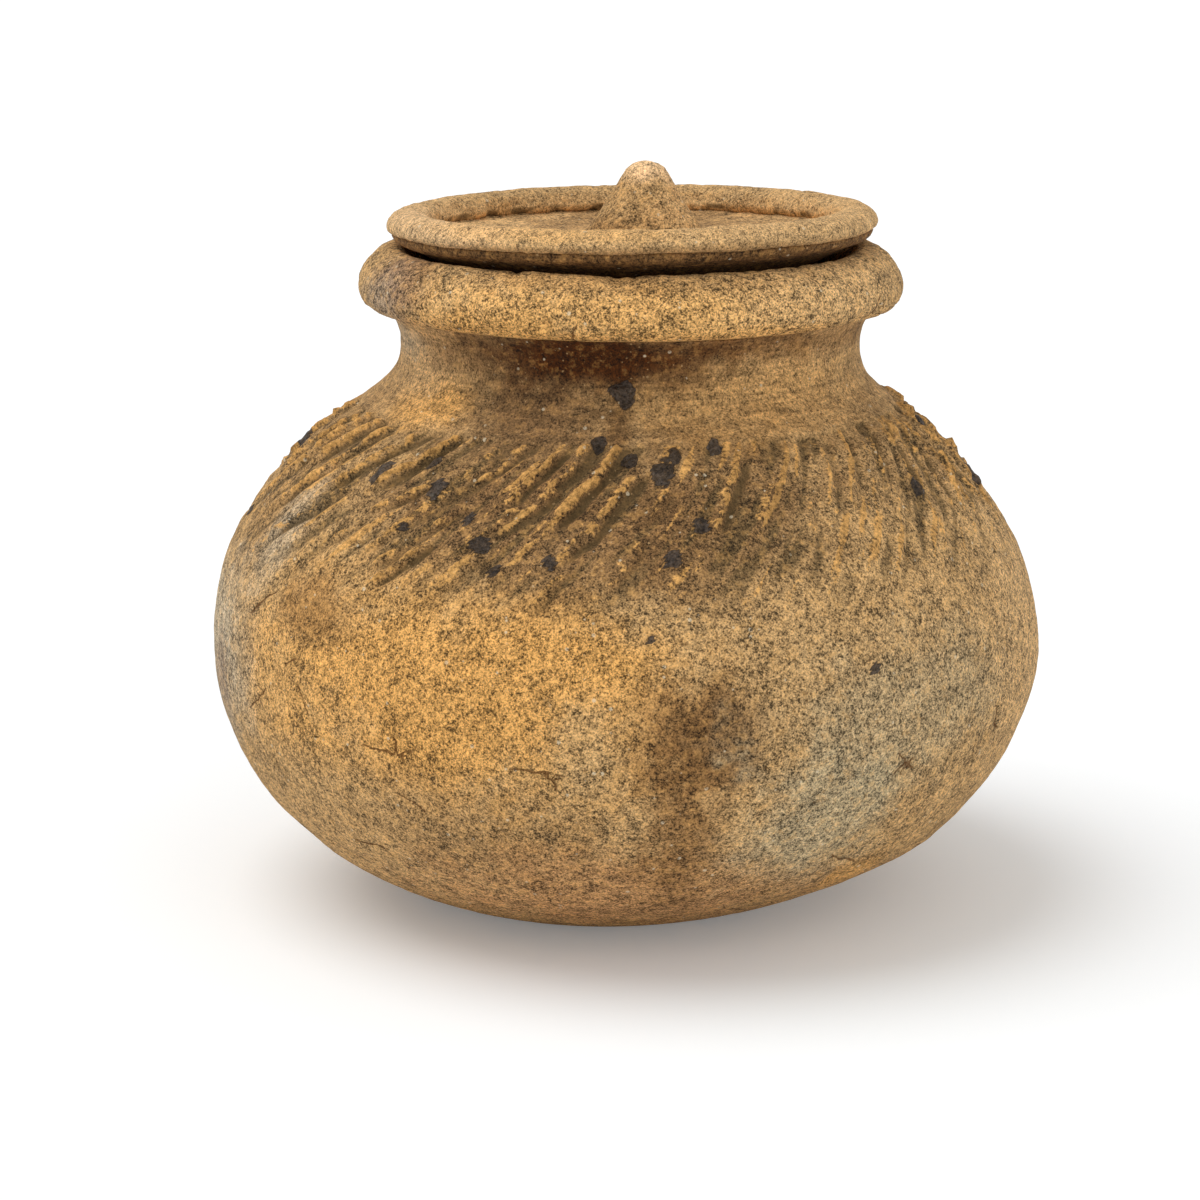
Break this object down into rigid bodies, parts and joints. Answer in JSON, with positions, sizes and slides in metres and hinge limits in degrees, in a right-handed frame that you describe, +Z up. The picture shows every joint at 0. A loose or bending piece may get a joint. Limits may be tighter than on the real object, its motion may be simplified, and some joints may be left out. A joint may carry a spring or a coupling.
{
  "type": "lidded earthenware jar",
  "caption": "Squat globular hand-built earthenware jar with a short collar, a thick rolled rim and a loose saucer-shaped lid with a cone knob.",
  "frame": {"origin": "middle of the flat spot that the jar stands on, at the bottom of the bounding box", "axes": "+Z up along the jar's axis, -Y towards the camera of the picture, +X to its right"},
  "size_m": [0.2, 0.2, 0.1772],
  "materials": {
    "base_clay": "unglazed, wiped, matt",
    "paddled_clay": "unglazed, paddled, fire-clouded, matt",
    "wiped_clay": "unglazed, wiped smooth, matt",
    "gritty_clay": "unglazed, coarse with pale grit, matt",
    "dish_clay": "unglazed, wiped, matt",
    "roll_clay": "unglazed, fine sandy, matt",
    "knob_clay": "unglazed, sandy, matt"
  },
  "bodies": {
    "jar": {"jar_base": "base_clay", "jar_body": "paddled_clay", "jar_neck": "wiped_clay", "jar_rim": "gritty_clay"},
    "lid": {"lid_dish": "dish_clay", "lid_rim": "roll_clay", "lid_knob": "knob_clay"}
  },
  "joints": [
    {"name": "lid_lift", "type": "slide", "parent": "jar", "child": "lid", "axis": [0, 0, 1], "range_m": [0, 0.06]}
  ]
}
